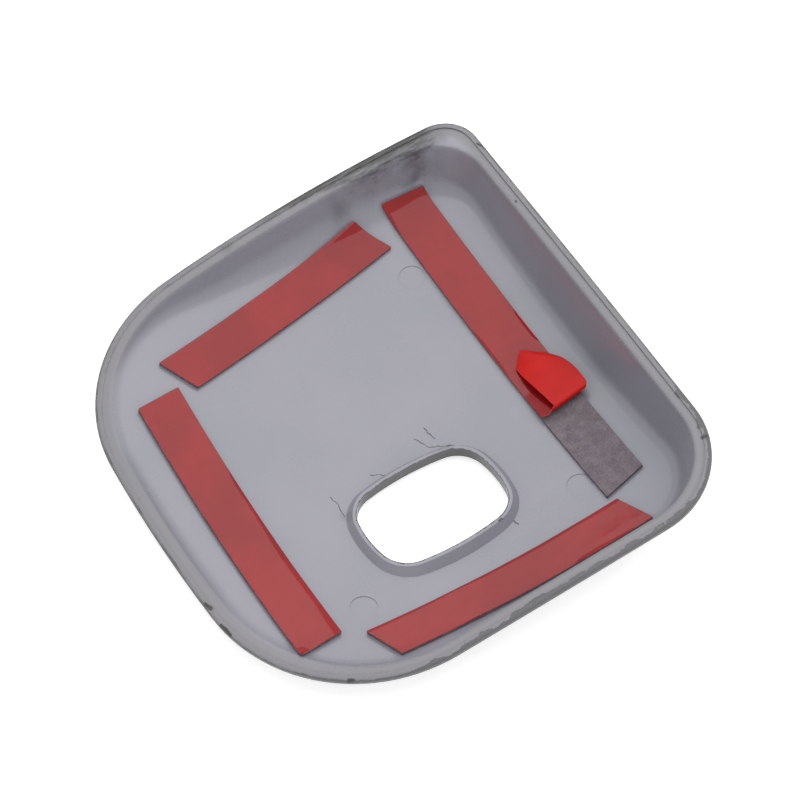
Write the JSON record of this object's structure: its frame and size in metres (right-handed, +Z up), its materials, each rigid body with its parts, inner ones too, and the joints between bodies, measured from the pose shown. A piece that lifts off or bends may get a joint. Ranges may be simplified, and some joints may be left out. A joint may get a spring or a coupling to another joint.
{
  "type": "tailgate switch cover",
  "caption": "Domed rectangular trim cover with a flared lip, one deep grip side, a collared switch hole and foam tape strips under red release film.",
  "frame": {"origin": "on the supporting surface, under the middle of the cover's bounding box", "axes": "+Z up and out of the hollow back, +X towards the deep grip side, front face down"},
  "size_m": [0.1242, 0.1318, 0.0255],
  "materials": {
    "moulded_shell": "satin grey inside as moulded, dark grey coat outside that ends in a ragged line at the lip",
    "foam_tape": "grey closed-cell foam, matt",
    "release_film": "glossy red film"
  },
  "bodies": {
    "root": {"cover_shell": "moulded_shell", "foam_left": "foam_tape", "liner_left": "release_film", "foam_top": "foam_tape", "liner_top": "release_film", "foam_right": "foam_tape", "liner_right": "release_film", "foam_bottom": "foam_tape", "liner_bottom": "release_film"}
  },
  "joints": []
}
